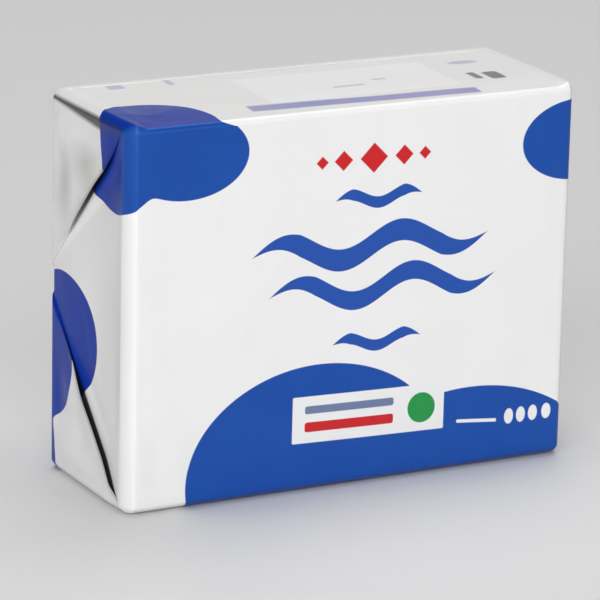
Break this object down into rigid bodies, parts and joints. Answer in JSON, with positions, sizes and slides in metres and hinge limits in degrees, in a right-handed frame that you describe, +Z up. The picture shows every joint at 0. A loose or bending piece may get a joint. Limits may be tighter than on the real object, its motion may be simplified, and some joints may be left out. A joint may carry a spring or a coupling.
{
  "type": "wrapped butter block",
  "caption": "Rectangular block of butter in a folded paper wrap, standing on a long narrow side with its printed face forward and folded flaps at both ends.",
  "frame": {"origin": "middle of the base, on the surface that the block stands on", "axes": "+X along the block's length, -Y out of the large printed face, +Z up"},
  "size_m": [0.098, 0.036, 0.077],
  "materials": {
    "wrap": "coated paper wrap with a satin gloss, white with blue print"
  },
  "bodies": {
    "root": {"wrapped_block": "wrap"}
  },
  "joints": []
}
